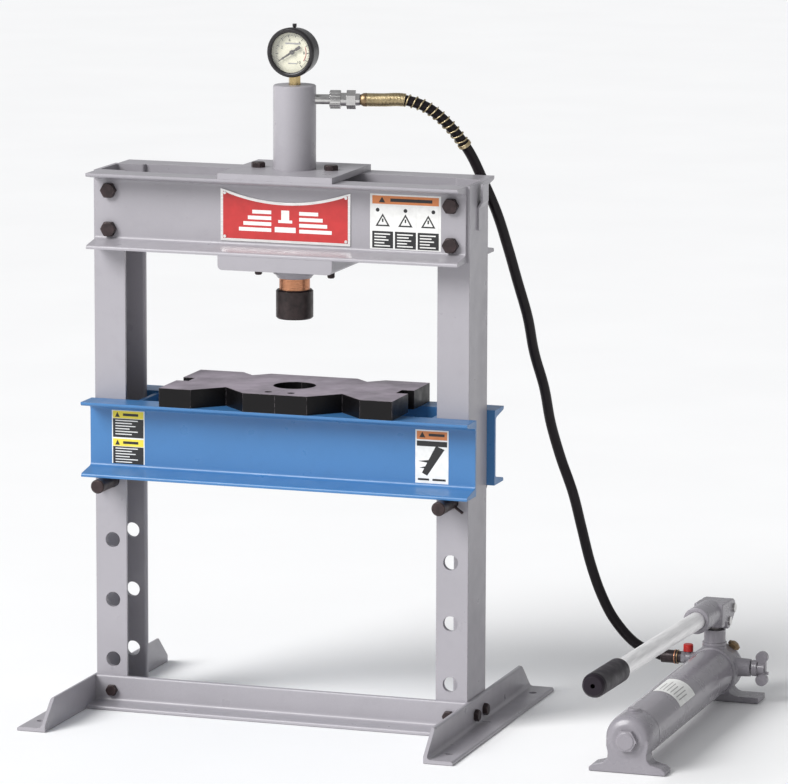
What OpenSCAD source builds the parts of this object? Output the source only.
// Bench hydraulic shop press: a bolted channel frame with a 10 ton ram,
// a blue bed on two support pins, and a separate hand pump on a hose.
// Millimetres. Origin on the floor at the middle of the base,
// +X to the right, +Y to the back, +Z up.

/* [Frame] */
// Height of the posts, which is also the top of the head beams
post_h = 730; // [700:1:780]
// Half of the width over the outside of the posts
half_w = 264; // [256:1:280]
// Depth of a post channel from front to back
post_depth = 80; // [76:1:84]
// Flange width of a post channel
post_flange = 44; // [40:1:48]
// Length of each foot from front to back
foot_len = 457; // [420:1:520]
// Distance between two adjusting holes of a post
hole_pitch = 82.5; // [80:0.5:84]

/* [Beams] */
// Height of a head or bed beam
beam_h = 101.6; // [98:0.1:104]
// Flange width of a head or bed beam
beam_flange = 40.2; // [38:0.1:42]
// Length of the head beams
head_len = 520; // [500:1:528]
// Length of the bed beams
bed_len = 544; // [530:1:560]
// Sideways place of the bed between the posts
bed_x = 3; // [-4:1:4]

/* [Ram] */
// Sideways place of the clamped work head on the head beams
ram_x = 7; // [-20:1:20]
// Outside diameter of the hydraulic cylinder
cyl_d = 57.2; // [54:0.1:60]
// Length of the cylinder
cyl_len = 252; // [240:1:256]
// Height of the cylinder above the head plate
cyl_above = 112; // [100:1:116]
// Diameter of the ram
ram_d = 41; // [38:0.5:41]
// Full travel of the ram
ram_stroke = 150; // [100:1:150]

/* [Table plates] */
// Thickness of a table plate
plate_t = 25.4; // [20:0.1:30]
// Length of one table plate along the bed
plate_w = 164; // [156:1:172]
// Diameter of the hole that the two plates share
plate_hole_d = 57; // [54:0.5:60]

/* [Gauge] */
// Outside diameter of the gauge bezel
bezel_d = 66; // [62:1:70]
// Height of the gauge centre above the cylinder
gauge_rise = 44; // [43:1:50]

/* [Pump] */
// Sideways place of the pump
pump_x = 528; // [500:1:560]
// Height of the reservoir axis above the floor
pump_axis_h = 44; // [42:1:48]
// Outside diameter of the reservoir tube
tank_d = 63.5; // [60:0.5:66]
// Rise of the lever towards its grip, in degrees
lever_tilt = 2.1; // [0:0.1:4]
// Length of the lever from its pivot to the end of the grip
lever_len = 620; // [560:1:660]

/* [Hidden] */

$fn = 48;

// colours
paint = [0.70, 0.70, 0.73];
bed_blue = [0.33, 0.55, 0.80];
black_steel = [0.16, 0.13, 0.14];
zinc = [0.75, 0.74, 0.71];
brass = [0.78, 0.62, 0.30];
copper = [0.80, 0.47, 0.30];
pump_grey = [0.58, 0.57, 0.61];
rubber = [0.12, 0.11, 0.12];

// rolled channels: [depth, flange, web, mean flange thickness, flange slope, root radius]
beam_ch = [beam_h, beam_flange, 4.7, 7.5, 9.46, 5];
post_ch = [post_depth, post_flange, 6, 8, 4.6, 4];

angle_leg = 40;
angle_t = 5;
post_face = post_depth / 2;
post_mid_x = half_w - 24;
head_z = post_h - beam_h;
hole_d = 20.6;
pin_d = 19;
first_hole_z = 62;
pin_z = first_hole_z + 3 * hole_pitch;
bed_z = pin_z + pin_d / 2;
bed_top = bed_z + beam_h;
bed_gap = 0.6;
bed_face = post_face + bed_gap;

// bolts: [shank diameter, width across flats, head height]
bolt_half = [12.7, 19, 8];
bolt_three_eighths = [9.5, 14.3, 6.4];
bolt_clamp = [10, 17, 7];
head_bolt_z = [post_h - 26, post_h - 78];
brace_bolt_z = 20;
foot_bolt_y = 19.5;
foot_bolt_z = 18;
bench_hole = [286.5, 187, 11];

plate_size = 160;
head_plate_t = 8;
clamp_t = 19;
clamp_bolt_x = 51.3;
cyl_top = post_h + head_plate_t + cyl_above;
cyl_bottom = cyl_top - cyl_len;
cyl_base_t = 28;
cyl_bore_r = 21.5;
gland_r = 24;
gland_h = 30;
ram_top = cyl_top - cyl_base_t - 6;
nose_d = 50;
nose_h = 39;
nose_top = cyl_bottom - 21.5;
port_angle = 14;
port_z = cyl_top - 19;

gauge_z = cyl_top + gauge_rise;
case_r = bezel_d / 2 - 2;
case_back = 10;
case_front = -14;
dial_y = -8;
needle_zero = 213;

// stations along the port line, measured from the ram axis
nipple_end = 47;
collar_end = 62;
hose_nut_start = 69.5;
hose_nut_end = 81.5;
hose_start = 87;
guard_end = 147;
hose_d = 14;

pump_front_y = -186;
tank_front = -150;
tank_back = 222;
barrel_y = 242;
pivot_y = 264;
pivot_z = 127;
link_local = [-21.5, -14.7];
link_y = pivot_y + link_local[0] * cos(lever_tilt) + link_local[1] * sin(lever_tilt);
link_z = pivot_z - link_local[0] * sin(lever_tilt) + link_local[1] * cos(lever_tilt);
valve_z = 50;
hose_port_y = 250;
hose_port_z = 56;
hose_end_x = pump_x - 76;

// centre line of the hose from its coupling to the pump's ferrule
hose_route = [
    port_point(hose_start), port_point(117), port_point(guard_end),
    [180, 45, 820], [205, 60, 795], [225, 80, 760], [240, 95, 720], [255, 110, 675],
    [265, 125, 630], [275, 140, 580], [285, 155, 530], [290, 170, 480], [300, 185, 430],
    [305, 200, 380], [315, 215, 330], [330, 225, 280], [340, 235, 230], [350, 245, 180],
    [365, 250, 135], [385, 250, 100], [415, 250, 70],
    [hose_end_x, hose_port_y, hose_port_z]
];

// point on the port line at a distance from the ram axis
function port_point(r) = [ram_x + r * cos(port_angle), r * sin(port_angle), port_z];

// points of a circular arc in a plane
function arc(cx, cy, r, a0, a1, n = 6) =
    [for (i = [0:n]) let (a = a0 + (a1 - a0) * i / n) [cx + r * cos(a), cy + r * sin(a)]];

// lower half of a rolled channel's outline, its back on x = 0, flange outside on y = 0
function channel_half(ch, toe_r = 3.5) =
    let (
        w = ch[2],
        s = ch[4],
        root_r = ch[5],
        toe = ch[3] - (ch[1] - w) / 2 * tan(s),
        ry = toe + (ch[1] - w - root_r) * tan(s) + root_r / cos(s),
        ty = toe + toe_r * tan(s) - toe_r / cos(s)
    )
    concat(
        [[0, 0], [ch[1], 0]],
        arc(ch[1] - toe_r, ty, toe_r, 0, 90 - s, 4),
        arc(w + root_r, ry, root_r, 270 - s, 180, 4)
    );

// rolled channel along z, flanges towards +x
module channel(ch, len) {
    half = channel_half(ch);
    n = len(half);
    upper = [for (i = [n - 1:-1:0]) [half[i][0], ch[0] - half[i][1]]];
    linear_extrude(len) translate([0, -ch[0] / 2]) polygon(concat(half, upper));
}

// beam along x with its web's back on y = face and its flanges towards +y
module beam_along_x(len, z, face) {
    translate([-len / 2, face, z + beam_h / 2]) rotate([90, 0, 90]) channel(beam_ch, len);
}

module front_back(front) {
    mirror([0, front ? 1 : 0, 0]) children();
}

module left_right(left) {
    mirror([left ? 1 : 0, 0, 0]) children();
}

// cylinder from z1 to z2
module zcyl(r, z1, z2, r2 = undef) {
    translate([0, 0, z1]) cylinder(r1 = r, r2 = r2 == undef ? r : r2, h = z2 - z1);
}

// cylinder along x from x1 to x2
module xcyl(r, x1, x2, r2 = undef) {
    rotate([0, 90, 0]) zcyl(r, x1, x2, r2);
}

// cylinder along y from y1 to y2
module ycyl(r, y1, y2, r2 = undef) {
    rotate([-90, 0, 0]) zcyl(r, y1, y2, r2);
}

// box given by its two opposite corners
module box(a, b) {
    translate(a) cube(b - a);
}

// hexagonal prism on z = 0
module hex(flats, h) {
    cylinder(d = flats / cos(30), h = h, $fn = 6);
}

// hexagonal prism on z = 0 with its lower corners turned off
module hex_head(flats, h) {
    corner_r = flats / sqrt(3);
    intersection() {
        hex(flats, h);
        union() {
            zcyl(flats * 0.47, 0, 1.6, corner_r + 0.1);
            zcyl(corner_r + 0.1, 1.6, h);
        }
    }
}

// hex bolt: head below z = 0, shank towards +z
module bolt(size, len) {
    translate([0, 0, -size[2]]) hex_head(size[1], size[2]);
    zcyl(size[0] / 2, 0, len - 1.5);
    zcyl(size[0] / 2, len - 1.5, len, size[0] / 2 - 1.2);
}

// hex nut on z = 0 around a bolt of the same size
module nut(size) {
    difference() {
        hex(size[1], size[2] + 2);
        zcyl(size[0] / 2 + 0.05, -1, size[2] + 3);
    }
}

// ---------- posts and base ----------

module post() {
    difference() {
        translate([half_w, 0, 0]) mirror([1, 0, 0]) channel(post_ch, post_h);
        for (i = [0:3])
            translate([post_mid_x, 0, first_hole_z + i * hole_pitch])
                ycyl(hole_d / 2, -post_depth, post_depth);
        for (z = head_bolt_z)
            translate([post_mid_x, 0, z]) ycyl(bolt_half[0] / 2 + 0.4, -post_depth, post_depth);
        translate([post_mid_x, 0, brace_bolt_z])
            ycyl(bolt_three_eighths[0] / 2 + 0.4, -post_depth, 0);
        for (y = [-foot_bolt_y, foot_bolt_y])
            translate([0, y, foot_bolt_z])
                xcyl(bolt_three_eighths[0] / 2 + 0.4, half_w - 20, half_w + 20);
    }
}

module post_left() {
    color(paint) left_right(true) post();
}

module post_right() {
    color(paint) left_right(false) post();
}

// outline of an angle iron, its outer corner at the origin, legs along +x and +y
module angle_outline() {
    polygon(concat(
        [[0, 0], [angle_leg, 0]],
        arc(angle_leg - 3, angle_t - 3, 3, 0, 90, 4),
        arc(angle_t + 5, angle_t + 5, 5, 270, 180, 4),
        arc(angle_t - 3, angle_leg - 3, 3, 0, 90, 4),
        [[0, angle_leg]]
    ));
}

// right foot: an angle iron with its upright leg against the post's outside
module foot() {
    end = foot_len / 2;
    difference() {
        translate([half_w, end, 0]) rotate([90, 0, 0]) linear_extrude(foot_len) angle_outline();
        for (side = [-1, 1])
            translate([half_w - 1, 0, 0]) rotate([90, 0, 90]) linear_extrude(angle_t + 2)
                polygon([
                    [side * (end - 36), angle_leg + 1],
                    [side * (end + 1), angle_t + 3],
                    [side * (end + 1), angle_leg + 1]
                ]);
        for (y = [-foot_bolt_y, foot_bolt_y])
            translate([0, y, foot_bolt_z])
                xcyl(bolt_three_eighths[0] / 2 + 0.4, half_w - 20, half_w + 20);
        for (y = [-bench_hole[1], bench_hole[1]])
            translate([half_w - 264 + bench_hole[0], y, 0]) zcyl(bench_hole[2] / 2, -1, angle_t + 1);
    }
}

module foot_left() {
    color(paint) left_right(true) foot();
}

module foot_right() {
    color(paint) left_right(false) foot();
}

// angle iron across the front of the posts, its flat leg on the floor
module cross_brace() {
    color(paint) difference() {
        translate([half_w, -post_face, 0]) mirror([0, 1, 0]) rotate([90, 0, -90])
            mirror([1, 0, 0]) linear_extrude(2 * half_w) angle_outline();
        for (x = [-post_mid_x, post_mid_x])
            translate([x, 0, brace_bolt_z])
                ycyl(bolt_three_eighths[0] / 2 + 0.4, -post_face - 10, 0);
    }
}

module base_bolts() {
    color(black_steel) {
        for (x = [-post_mid_x, post_mid_x])
            translate([x, -post_face - angle_t, brace_bolt_z]) rotate([-90, 0, 0])
                bolt(bolt_three_eighths, 26);
        for (left = [true, false], y = [-foot_bolt_y, foot_bolt_y])
            left_right(left) translate([half_w + angle_t, y, foot_bolt_z]) rotate([0, -90, 0])
                bolt(bolt_three_eighths, 20);
    }
}

module base_nuts() {
    color(black_steel) {
        for (x = [-post_mid_x, post_mid_x])
            translate([x, -post_face + 9, brace_bolt_z]) rotate([-90, 0, 0])
                nut(bolt_three_eighths);
        for (left = [true, false], y = [-foot_bolt_y, foot_bolt_y])
            left_right(left) translate([half_w - 6, y, foot_bolt_z]) rotate([0, -90, 0])
                nut(bolt_three_eighths);
    }
}

// bent strip on the right post, its upper half standing off to hang the hose over
module hanger_hook() {
    t = 2.5;
    off = 5;
    x0 = half_w;
    color(paint) translate([0, 18, 0]) rotate([90, 0, 0]) linear_extrude(26) polygon([
        [x0, post_h - 62], [x0 + t, post_h - 62], [x0 + t, post_h - 33],
        [x0 + t + off, post_h - 25], [x0 + t + off, post_h - 1], [x0 + off, post_h - 1],
        [x0 + off, post_h - 24], [x0, post_h - 32]
    ]);
}

// ---------- head ----------

module head_beam(front) {
    front_back(front) difference() {
        beam_along_x(head_len, head_z, post_face);
        for (x = [-post_mid_x, post_mid_x], z = head_bolt_z)
            translate([x, 0, z]) ycyl(bolt_half[0] / 2 + 0.4, post_face - 5, post_face + 20);
    }
}

module head_beam_front() {
    color(paint) head_beam(true);
}

module head_beam_rear() {
    color(paint) head_beam(false);
}

module at_head_bolts(y) {
    for (front = [true, false], x = [-post_mid_x, post_mid_x], z = head_bolt_z)
        front_back(front) translate([x, y, z]) rotate([90, 0, 0]) children();
}

module head_bolts() {
    color(black_steel) at_head_bolts(post_face + beam_ch[2]) bolt(bolt_half, 29);
}

module head_nuts() {
    color(black_steel) at_head_bolts(post_face - 9.2) nut(bolt_half);
}

// square plate clamped on top of the head beams, the cylinder passes through it
module head_plate() {
    s = plate_size / 2;
    color(paint) translate([ram_x, 0, post_h]) difference() {
        box([-s, -s, 0], [s, s, head_plate_t]);
        zcyl(cyl_d / 2 + 0.3, -1, head_plate_t + 1);
        for (x = [-clamp_bolt_x, clamp_bolt_x])
            translate([x, 0, 0]) zcyl(bolt_clamp[0] / 2 + 0.4, -1, head_plate_t + 1);
    }
}

// thick block below the head beams that carries the ram's load
module clamp_block() {
    s = plate_size / 2;
    r = 6;
    color(paint) translate([ram_x, 0, head_z]) difference() {
        translate([0, s, 0]) rotate([90, 0, 0]) linear_extrude(2 * s) polygon(concat(
            [[-s, 0]],
            arc(-s + r, -clamp_t + r, r, 180, 270),
            arc(s - r, -clamp_t + r, r, 270, 360),
            [[s, 0]]
        ));
        zcyl(cyl_d / 2 + 0.3, -clamp_t - 1, 1);
        for (x = [-clamp_bolt_x, clamp_bolt_x])
            translate([x, 0, 0]) zcyl(bolt_clamp[0] / 2, -clamp_t - 1, 1);
    }
}

// two long bolts that pull the head plate and the clamp block together
module clamp_bolts() {
    top = post_h + head_plate_t;
    color(black_steel) for (x = [-clamp_bolt_x, clamp_bolt_x])
        translate([ram_x + x, 0, top]) rotate([180, 0, 0])
            bolt(bolt_clamp, top - head_z + clamp_t + 16);
}

// raised plate on the front beam, its top edge dips in the middle, four rivets
module nameplate() {
    w = 91;
    dip_r = 252;
    z0 = post_h - 86;
    h = 70;
    span = asin(78 / dip_r);
    color([0.75, 0.16, 0.15]) translate([10, -post_face - beam_ch[2], 0]) {
        rotate([90, 0, 0]) linear_extrude(1.2) polygon(concat(
            [[-w, z0], [w, z0], [w, z0 + h]],
            arc(0, z0 + h + dip_r - 16, dip_r, 270 + span, 270 - span, 12),
            [[-w, z0 + h]]
        ));
        for (x = [-w + 6, w - 6], z = [z0 + 6, z0 + h - 6])
            translate([x, 0, z]) ycyl(2, -2.2, -1.2);
    }
}

// ---------- cylinder and ram ----------

module at_ram() {
    translate([ram_x, 0, 0]) children();
}

module cylinder_barrel() {
    color(paint) at_ram() difference() {
        union() {
            zcyl(cyl_d / 2, cyl_bottom, cyl_top - 1.5);
            zcyl(cyl_d / 2, cyl_top - 1.5, cyl_top, cyl_d / 2 - 1.5);
        }
        zcyl(cyl_bore_r, cyl_bottom - 1, cyl_top - cyl_base_t);
        zcyl(gland_r, cyl_bottom - 1, cyl_bottom + gland_h);
        zcyl(2.5, cyl_top - cyl_base_t - 1, cyl_top);
        zcyl(6.5, cyl_top - 8, cyl_top + 1);
        translate([0, 0, port_z]) rotate([0, 0, port_angle]) {
            xcyl(2, 0, cyl_d);
            xcyl(7, cyl_d / 2 - 10, cyl_d);
        }
    }
}

module cylinder_gland() {
    lip = 6;
    color(paint) at_ram() difference() {
        union() {
            zcyl(gland_r, cyl_bottom - 0.5, cyl_bottom + gland_h);
            zcyl(ram_d / 2 + 2, cyl_bottom - lip, cyl_bottom, cyl_d / 2 - 1.5);
        }
        zcyl(ram_d / 2 + 0.05, cyl_bottom - lip - 1, cyl_bottom + gland_h + 1);
    }
}

module ram_plunger() {
    groove_pitch = 1.9;
    color(copper) at_ram() difference() {
        union() {
            zcyl(ram_d / 2, nose_top - 20, ram_top);
            zcyl(cyl_bore_r - 0.08, ram_top - 16, ram_top);
        }
        zcyl(13, nose_top + 4, ram_top + 1);
        difference() {
            zcyl(cyl_bore_r + 1, ram_top - 10, ram_top - 6);
            zcyl(cyl_bore_r - 3, ram_top - 10, ram_top - 6);
        }
        for (i = [0:7])
            translate([0, 0, nose_top + 1.5 + i * groove_pitch]) difference() {
                cylinder(r = ram_d / 2 + 1, h = 0.8);
                cylinder(r = ram_d / 2 - 0.5, h = 0.8);
            }
    }
}

module piston_seal() {
    color(rubber) at_ram() difference() {
        zcyl(cyl_bore_r - 0.04, ram_top - 10, ram_top - 6);
        zcyl(cyl_bore_r - 3, ram_top - 11, ram_top - 5);
    }
}

function unit(v) = v / norm(v);

function heading(p, i) = unit(p[min(i + 1, len(p) - 1)] - p[max(i - 1, 0)]);

function ring(c, dir, r, sides, across) =
    let (side = unit(cross(dir, across)), up = cross(side, dir))
    [for (k = [0:sides - 1]) let (a = 360 * k / sides) c + r * (cos(a) * side + sin(a) * up)];

// tube along a list of centres; across is a direction that the path never takes, and
// the two end rings can be turned square to a given direction
module swept_tube(path, r, sides, across, start_dir = undef, end_dir = undef) {
    n = len(path);
    dirs = [
        for (i = [0:n - 1])
            i == 0 && start_dir != undef ? start_dir
                : i == n - 1 && end_dir != undef ? end_dir : heading(path, i)
    ];
    points = [for (i = [0:n - 1]) each ring(path[i], dirs[i], r, sides, across)];
    walls = [
        for (i = [0:n - 2], k = [0:sides - 1])
            let (a = i * sides + k, b = i * sides + (k + 1) % sides)
            each [[a, b, b + sides], [a, b + sides, a + sides]]
    ];
    first_cap = [[for (k = [sides - 1:-1:0]) k]];
    last_cap = [[for (k = [0:sides - 1]) (n - 1) * sides + k]];
    polyhedron(points, concat(walls, first_cap, last_cap));
}

// tension spring inside the hollow ram
module return_spring() {
    turns = 30;
    steps = 10;
    coil_r = 9;
    bottom = nose_top + 6.5;
    top = cyl_top - cyl_base_t - 2;
    coil = [
        for (i = [0:turns * steps])
            [coil_r * cos(360 * i / steps), coil_r * sin(360 * i / steps),
                bottom + (top - bottom) * i / (turns * steps)]
    ];
    color(zinc) at_ram() swept_tube(coil, 1.8, 8, [0, 0, 1]);
}

module ram_nose() {
    color(black_steel) at_ram() difference() {
        union() {
            zcyl(nose_d / 2 - 2, nose_top - nose_h, nose_top - nose_h + 2, nose_d / 2);
            zcyl(nose_d / 2, nose_top - nose_h + 2, nose_top - 2);
            zcyl(nose_d / 2, nose_top - 2, nose_top, nose_d / 2 - 2);
        }
        zcyl(ram_d / 2, nose_top - 20, nose_top + 1);
    }
}

// ---------- gauge ----------

module at_gauge() {
    translate([ram_x, 0, gauge_z]) children();
}

module gauge_stem() {
    color(brass) at_ram() difference() {
        union() {
            zcyl(6.5, cyl_top - 8, cyl_top + 1);
            translate([0, 0, cyl_top]) hex(14.3, 12);
            zcyl(5.5, cyl_top + 11, gauge_z - case_r + 6);
        }
        zcyl(2, cyl_top - 9, gauge_z - case_r + 7);
    }
}

module gauge_case() {
    color(rubber) at_gauge() difference() {
        union() {
            ycyl(case_r, case_front, case_back);
            ycyl(case_r - 4, case_back, case_back + 1.5, case_r - 7);
        }
        ycyl(case_r - 2, case_front - 1, case_back - 2);
        zcyl(5.5, -case_r - 1, -case_r + 5);
        zcyl(2, case_r - 5, case_r + 1);
    }
}

module gauge_bezel() {
    r = bezel_d / 2;
    f = case_front - 5;
    color(rubber) at_gauge() turned([
        [r - 6.5, f + 2], [r - 5.5, f + 0.5], [r - 4, f], [r - 2, f], [r - 0.6, f + 1.6],
        [r, f + 3.5], [r, f + 10], [r - 0.6, f + 11], [case_r, f + 11], [case_r, case_front],
        [case_r - 1.5, case_front], [case_r - 1.5, f + 2]
    ]);
}

module gauge_lens() {
    color([0.85, 0.9, 0.9, 0.35]) at_gauge() ycyl(case_r - 1.5, case_front - 3, case_front);
}

// dial disc with a hole for the needle's spindle
module gauge_dial() {
    color([0.92, 0.9, 0.78]) at_gauge() difference() {
        ycyl(case_r - 2, dial_y, dial_y + 1);
        ycyl(1.6, dial_y - 1, dial_y + 2);
    }
}

module gauge_needle() {
    color(black_steel) at_gauge() {
        ycyl(1.5, dial_y - 4, dial_y + 6);
        ycyl(3, dial_y - 4.5, dial_y - 2);
        rotate([0, -needle_zero, 0]) translate([0, dial_y - 3, 0]) rotate([90, 0, 0])
            linear_extrude(0.8) polygon([
                [0, -1.6], [18, -0.7], [22, 0], [18, 0.7], [0, 1.6], [-6, 1.3], [-7, 2],
                [-14, 2], [-14, -2], [-7, -2], [-6, -1.3]
            ]);
    }
}

module gauge_plug() {
    color(rubber) at_gauge() {
        zcyl(2, case_r - 2, case_r + 3);
        zcyl(2.8, case_r + 2, case_r + 6);
    }
}

// ---------- hose and its fittings ----------

module at_port() {
    translate([ram_x, 0, port_z]) rotate([0, 0, port_angle]) children();
}

module port_nipple() {
    color(zinc) at_port() difference() {
        union() {
            xcyl(7, cyl_d / 2 - 10, cyl_d / 2);
            xcyl(6.8, cyl_d / 2, nipple_end + 8);
        }
        xcyl(2, cyl_d / 2 - 11, nipple_end + 9);
    }
}

// knurled collar of the quick coupler, its flutes cut around the rim
module coupler_collar() {
    r = 12.5;
    color(zinc) at_port() difference() {
        union() {
            xcyl(r - 1, nipple_end, nipple_end + 1, r);
            xcyl(r, nipple_end + 1, collar_end - 1);
            xcyl(r, collar_end - 1, collar_end, r - 1);
        }
        xcyl(6.85, nipple_end - 1, collar_end + 1);
        for (i = [0:15])
            rotate([i * 22.5, 0, 0]) translate([0, 0, r + 0.5])
                xcyl(1.2, nipple_end - 1, collar_end + 1, $fn = 24);
    }
}

module hose_nut() {
    color(zinc) at_port() difference() {
        union() {
            xcyl(6.8, nipple_end + 8, collar_end + 1);
            xcyl(9, collar_end, hose_nut_start);
            translate([hose_nut_start, 0, 0]) rotate([0, 90, 0])
                hex(22, hose_nut_end - hose_nut_start);
            xcyl(8.2, hose_nut_end, hose_start);
        }
        xcyl(2, nipple_end + 7, hose_start + 1);
    }
}

// closed stretch of the brass spring guard around the start of the hose
module hose_guard() {
    color(brass) at_port() difference() {
        xcyl(9.8, hose_start, guard_end);
        xcyl(8, hose_start - 1, guard_end + 1);
    }
}

// smooth curve through the route: four short steps between each pair of points
function curve_point(p, i, t) =
    let (
        n = len(p),
        p0 = i == 0 ? 2 * p[0] - p[1] : p[i - 1],
        p1 = p[i],
        p2 = p[i + 1],
        p3 = i + 2 == n ? 2 * p[n - 1] - p[n - 2] : p[i + 2]
    )
    0.5 * (2 * p1 + (p2 - p0) * t + (2 * p0 - 5 * p1 + 4 * p2 - p3) * t * t
        + (3 * p1 - p0 - 3 * p2 + p3) * t * t * t);

module hose() {
    steps = 2;
    n = len(hose_route);
    path = concat(
        [for (i = [0:n - 2], k = [0:steps - 1]) curve_point(hose_route, i, k / steps)],
        [hose_route[n - 1]]
    );
    color(rubber) swept_tube(
        path, hose_d / 2, 10, [0, 1, 0], [cos(port_angle), sin(port_angle), 0], [1, 0, 0]);
}

module hose_ferrule() {
    color(black_steel) translate([0, hose_port_y, hose_port_z]) {
        xcyl(9, hose_end_x, hose_end_x + 18);
        xcyl(9.6, hose_end_x + 18, hose_end_x + 22);
        xcyl(8, hose_end_x + 22, hose_end_x + 28);
    }
}

// steel adapter between the hose and the pump, with a branch on top
module pump_adapter() {
    x = hose_end_x + 28;
    color(pump_grey) translate([0, hose_port_y, hose_port_z]) {
        translate([x, 0, 0]) rotate([0, 90, 0]) hex(15, 6);
        xcyl(7.5, x + 6, pump_x - 35);
        translate([x + 9, 0, 0]) zcyl(3.9, 0, 9);
    }
}

module port_cap() {
    color([0.72, 0.10, 0.08]) translate([hose_end_x + 37, hose_port_y, hose_port_z]) {
        zcyl(6.8, 9, 18);
        zcyl(6.8, 18, 19, 5.8);
    }
}

// ---------- bed ----------

module bed_beam(front) {
    translate([bed_x, 0, 0]) front_back(front) beam_along_x(bed_len, bed_z, bed_face);
}

module bed_beam_front() {
    color(bed_blue) bed_beam(true);
}

module bed_beam_rear() {
    color(bed_blue) bed_beam(false);
}

// two plates welded across between the bed beams, just inside the posts
module bed_spacers() {
    inner = half_w - post_flange - 9;
    color(bed_blue) for (x = [-inner, inner - 6])
        box([bed_x + x, -bed_face, bed_z + 12], [bed_x + x + 6, bed_face, bed_top - 3]);
}

// table plate to the right of the ram: a wide V in front, a narrow V behind,
// a slot in its outer end and half of the round hole in its inner end
module table_plate() {
    d = plate_size / 2;
    mid = plate_w / 2;
    slot = 13;
    difference() {
        translate([0, 0, bed_top]) linear_extrude(plate_t) polygon([
            [0, -d], [mid - 37, -d], [mid, -d + 37], [mid + 37, -d], [plate_w, -d],
            [plate_w, -slot], [plate_w - 17, -slot], [plate_w - 17, slot], [plate_w, slot],
            [plate_w, d], [mid + 20, d], [mid, d - 20], [mid - 20, d], [0, d]
        ]);
        zcyl(plate_hole_d / 2, bed_top - 1, bed_top + plate_t + 1);
        translate([16, -60, 0]) zcyl(5, bed_top - 1, bed_top + plate_t + 1);
    }
}

module table_plate_left() {
    color(black_steel) at_ram() left_right(true) table_plate();
}

module table_plate_right() {
    color(black_steel) at_ram() left_right(false) table_plate();
}

// ---------- support pins ----------

module support_pin() {
    color(black_steel) translate([post_mid_x, 0, pin_z]) difference() {
        union() {
            ycyl(pin_d / 2 - 1.5, -96, -94.5, pin_d / 2);
            ycyl(pin_d / 2, -94.5, 90.5);
            ycyl(pin_d / 2, 90.5, 92, pin_d / 2 - 1.5);
        }
        translate([0, -47, 0]) rotate([0, 35, 0]) xcyl(2, -5, 12);
    }
}

// cross pin that stops the support pin at the post
module cotter() {
    color(black_steel) translate([post_mid_x, -47, pin_z]) rotate([0, 35, 0]) xcyl(2, -5, 23);
}

module support_pin_left() {
    left_right(true) support_pin();
}

module support_pin_right() {
    left_right(false) support_pin();
}

module cotter_left() {
    left_right(true) cotter();
}

module cotter_right() {
    left_right(false) cotter();
}

// ---------- hand pump ----------

module at_pump() {
    translate([pump_x, 0, 0]) children();
}

module at_tank() {
    translate([pump_x, 0, pump_axis_h]) children();
}

module pump_reservoir() {
    color(pump_grey) at_tank() difference() {
        ycyl(tank_d / 2, tank_front, tank_back);
        ycyl(tank_d / 2 - 2.6, tank_front - 1, tank_back + 1);
    }
}

// turned end of a casting: profile points are [radius, distance along y]
module turned(profile) {
    rotate([-90, 0, 0]) rotate_extrude() polygon(profile);
}

// front casting: a domed end cap standing on a wide foot
module pump_front_foot() {
    r = tank_d / 2;
    y0 = pump_front_y;
    color(pump_grey) at_tank() difference() {
        union() {
            turned(concat(
                [[0, y0 - 10], [20, y0 - 10]],
                [for (a = [80:-16:0]) [r - 8 + 8 * cos(a), y0 + 12 - 20 * sin(a)]],
                [[r, tank_front], [r - 2.6, tank_front], [r - 2.6, tank_front + 15],
                    [0, tank_front + 15]]
            ));
            translate([0, y0 + 20, -pump_axis_h]) rotate([90, 0, 0]) linear_extrude(28) polygon([
                [-51, 0], [51, 0], [51, 5], [46, 9], [31, 13], [27, 18], [26, 25], [28, 34],
                [28, pump_axis_h], [-28, pump_axis_h], [-28, 34], [-26, 25], [-27, 18],
                [-31, 13], [-46, 9], [-51, 5]
            ]);
            translate([0, tank_front - 12, 0]) zcyl(9.5, r - 8, r + 0.6);
        }
        ycyl(9, y0 - 11, y0 + 6);
        ycyl(22, y0 + 16, tank_front + 16);
        translate([0, tank_front - 12, 0]) zcyl(4, 0, r + 1);
    }
}

module pump_front_plug() {
    y0 = pump_front_y;
    color(pump_grey) at_tank() {
        translate([0, y0 - 10, 0]) rotate([90, 0, 0]) hex(26, 7);
        translate([0, y0 - 17, 0]) rotate([90, 0, 0]) zcyl(12, 0, 1.2, 10.5);
        ycyl(9, y0 - 10, y0 + 6);
    }
}

// slotted vent screw on top of the front casting
module vent_screw() {
    r = tank_d / 2;
    color(pump_grey) at_tank() translate([0, tank_front - 12, 0]) difference() {
        union() {
            zcyl(4, r - 8, r + 1);
            zcyl(8, r + 0.6, r + 3.6);
        }
        box([-9, -0.8, r + 2], [9, 0.8, r + 5]);
    }
}

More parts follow.
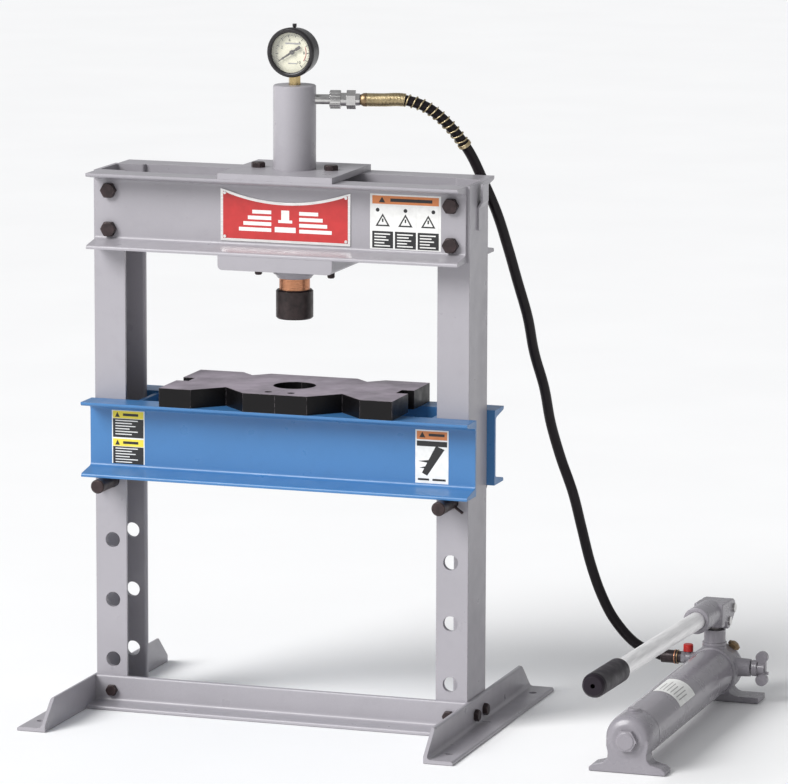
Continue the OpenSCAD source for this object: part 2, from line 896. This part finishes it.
// rear casting: valve block with bosses for barrel, valve and hose, fulcrum and foot
module pump_body() {
    r = tank_d / 2;
    color(pump_grey) at_pump() difference() {
        union() {
            translate([0, 0, pump_axis_h]) turned([
                [0, tank_back - 16], [r - 2.6, tank_back - 16], [r - 2.6, tank_back],
                [r + 1.8, tank_back], [r + 2.8, tank_back + 3], [r + 2.8, tank_back + 42],
                [r, tank_back + 52], [r - 8, tank_back + 59], [0, tank_back + 61]
            ]);
            translate([0, 243 + 38, 0]) rotate([90, 0, 0]) linear_extrude(38) polygon(concat(
                [[-62, 0], [62, 0], [62, 8]],
                arc(32, 22, 14, 270, 180),
                [[18, pump_axis_h], [-18, pump_axis_h]],
                arc(-32, 22, 14, 360, 270),
                [[-62, 8]]
            ));
            translate([0, barrel_y, 0]) zcyl(17, pump_axis_h, 79);
            translate([0, barrel_y, valve_z]) xcyl(14, 0, 30);
            translate([0, barrel_y, valve_z]) xcyl(13, 30, 52, 12);
            translate([0, hose_port_y, hose_port_z]) xcyl(8.5, -35, 0);
            box([-8, pivot_y - 5, pump_axis_h], [8, pivot_y + 8, pivot_z]);
            translate([0, pivot_y, pivot_z]) xcyl(8, -8, 8);
        }
        translate([0, barrel_y, 0]) zcyl(12, 62, 80);
        translate([0, barrel_y, 0]) zcyl(3, valve_z, 63);
        translate([0, barrel_y, valve_z]) xcyl(5, 16, 53);
        translate([0, barrel_y, valve_z]) xcyl(2, -1, 17);
        translate([0, hose_port_y, hose_port_z]) xcyl(3, -36, -8);
        translate([0, pivot_y, pivot_z]) xcyl(4.05, -9, 9);
        translate([0, 265, pump_axis_h]) rotate([0, 35, 0]) zcyl(5, r - 4, r + 6);
    }
}

module pump_barrel() {
    color(pump_grey) translate([pump_x, barrel_y, 0]) difference() {
        union() {
            zcyl(12, 62, 80);
            zcyl(16.5, 79, 83);
            zcyl(14.6, 83, pivot_z - 26.4);
        }
        zcyl(8.05, 66, pivot_z);
        zcyl(3, 61, 67);
    }
}

// pump plunger: its eye has a long slot, because the lever's pin swings on an arc
module pump_plunger() {
    color(zinc) translate([pump_x, 0, 0]) difference() {
        union() {
            translate([0, barrel_y, 0]) zcyl(8, 68, link_z - 2);
            translate([0, link_y, link_z]) xcyl(9, -6.5, 6.5);
            translate([0, link_y - 4.4, link_z]) xcyl(9, -6.5, 6.5);
            box([-6.5, link_y - 4.4, link_z - 9], [6.5, link_y, link_z + 9]);
        }
        translate([0, link_y, link_z]) xcyl(4.7, -10, 10);
        translate([0, link_y - 4.4, link_z]) xcyl(4.7, -10, 10);
        box([-10, link_y - 4.4, link_z - 4.7], [10, link_y, link_z + 4.7]);
    }
}

module relief_plug() {
    r = tank_d / 2;
    color(brass) translate([pump_x, 265, pump_axis_h]) rotate([0, 35, 0]) {
        zcyl(5, r - 4, r + 3);
        translate([0, 0, r + 3]) hex(15, 5);
        zcyl(6.8, r + 8, r + 10, 4.5);
    }
}

// frame of the lever: pivot at the origin, the tube along -y
module at_lever() {
    translate([pump_x, pivot_y, pivot_z]) rotate([-lever_tilt, 0, 0]) children();
}

module lever_socket() {
    cheek = 20;
    gap = 9;
    color(pump_grey) at_lever() difference() {
        union() {
            xcyl(12.5, -cheek, cheek);
            translate([0, link_local[0], link_local[1]]) xcyl(11, -cheek, cheek);
            box([-cheek, -58, -13], [cheek, link_local[0] + 2, 13]);
            box([-cheek, -58, -19], [cheek, -42, 13]);
            translate([-cheek, 0, 0]) rotate([90, 0, 90]) linear_extrude(2 * cheek) polygon([
                [-48, -13], [link_local[0] - 11, link_local[1]], [link_local[0], -25.7],
                [-10.6, -22.4], [7.3, -10.2], [12.5, 0], [8.8, 8.8], [0, 12.8], [-48, 13]
            ]);
            ycyl(18, -122, -50);
        }
        box([-gap, -42, -40], [gap, 20, 9]);
        ycyl(12.05, -130, -49);
        xcyl(4, -cheek - 1, cheek + 1);
        translate([0, link_local[0], link_local[1]]) xcyl(4, -cheek - 1, cheek + 1);
    }
}

module lever_tube() {
    color(zinc) at_lever() difference() {
        ycyl(12, -lever_len + 12, -49);
        ycyl(9.5, -lever_len + 11, -48);
    }
}

module lever_grip() {
    r = 16;
    end = lever_len;
    color(rubber) at_lever() difference() {
        turned([
            [0, -end], [r - 4, -end], [r - 1.2, -end + 3.5], [r, -end + 8],
            [r, -end + 115], [r - 1.5, -end + 118], [0, -end + 118]
        ]);
        ycyl(12.05, -end + 12, -end + 120);
        ycyl(3, -end - 1, -end + 13);
    }
}

// fulcrum pin and link pin, both pressed in the lever casting
module lever_pins() {
    color(zinc) at_lever() {
        xcyl(4, -22, 22);
        xcyl(6, 20, 23);
        translate([0, link_local[0], link_local[1]]) {
            xcyl(4, -22, 22);
            xcyl(6, 20, 22.5);
        }
    }
}

// release valve screw with its wing knob
module release_valve() {
    color(pump_grey) translate([pump_x, barrel_y, valve_z]) {
        xcyl(4.95, 18, 54);
        xcyl(11, 54, 61);
        xcyl(8, 61, 71);
        translate([0, 0, -6]) xcyl(2.2, 68, 76);
        box([61.5, -3.8, -15.5], [72.5, 3.8, 15.5]);
        for (z = [-15.5, 15.5])
            translate([67, 0, z]) ycyl(8.2, -4.2, 4.2);
    }
}

post_left();
post_right();
head_beam_front();
head_beam_rear();
head_bolts();
head_nuts();
foot_left();
foot_right();
cross_brace();
base_bolts();
base_nuts();
hanger_hook();
head_plate();
clamp_block();
clamp_bolts();
nameplate();
cylinder_barrel();
cylinder_gland();
ram_plunger();
piston_seal();
return_spring();
ram_nose();
gauge_stem();
gauge_case();
gauge_bezel();
gauge_lens();
gauge_dial();
gauge_needle();
gauge_plug();
port_nipple();
coupler_collar();
hose_nut();
hose_guard();
hose();
hose_ferrule();
pump_adapter();
port_cap();
bed_beam_front();
bed_beam_rear();
bed_spacers();
table_plate_left();
table_plate_right();
support_pin_left();
cotter_left();
support_pin_right();
cotter_right();
pump_reservoir();
pump_front_foot();
pump_front_plug();
vent_screw();
pump_body();
pump_barrel();
pump_plunger();
relief_plug();
lever_socket();
lever_tube();
lever_grip();
lever_pins();
release_valve();
